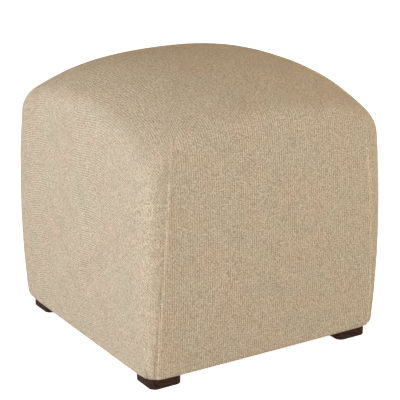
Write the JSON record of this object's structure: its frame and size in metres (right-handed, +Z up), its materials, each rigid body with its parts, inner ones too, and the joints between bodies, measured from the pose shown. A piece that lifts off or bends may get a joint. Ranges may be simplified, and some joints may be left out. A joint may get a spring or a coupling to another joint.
{
  "type": "cube pouf stool",
  "caption": "Square upholstered pouf stool: a filled linen-look cover with a crowned top and sewn corner seams, standing on low dark block feet.",
  "frame": {"origin": "on the floor, under the middle of the stool", "axes": "+Z up; the front faces -Y, and +X is to the right of someone facing the front"},
  "size_m": [0.4724, 0.4724, 0.4776],
  "materials": {
    "cover_cloth": "matt linen-look plain weave in sand beige, with fine slubs",
    "foot_wood": "very dark brown stain, satin"
  },
  "bodies": {
    "root": {"cover": "cover_cloth", "foot_front_left": "foot_wood", "foot_front_right": "foot_wood", "foot_back_left": "foot_wood", "foot_back_right": "foot_wood"}
  },
  "joints": []
}
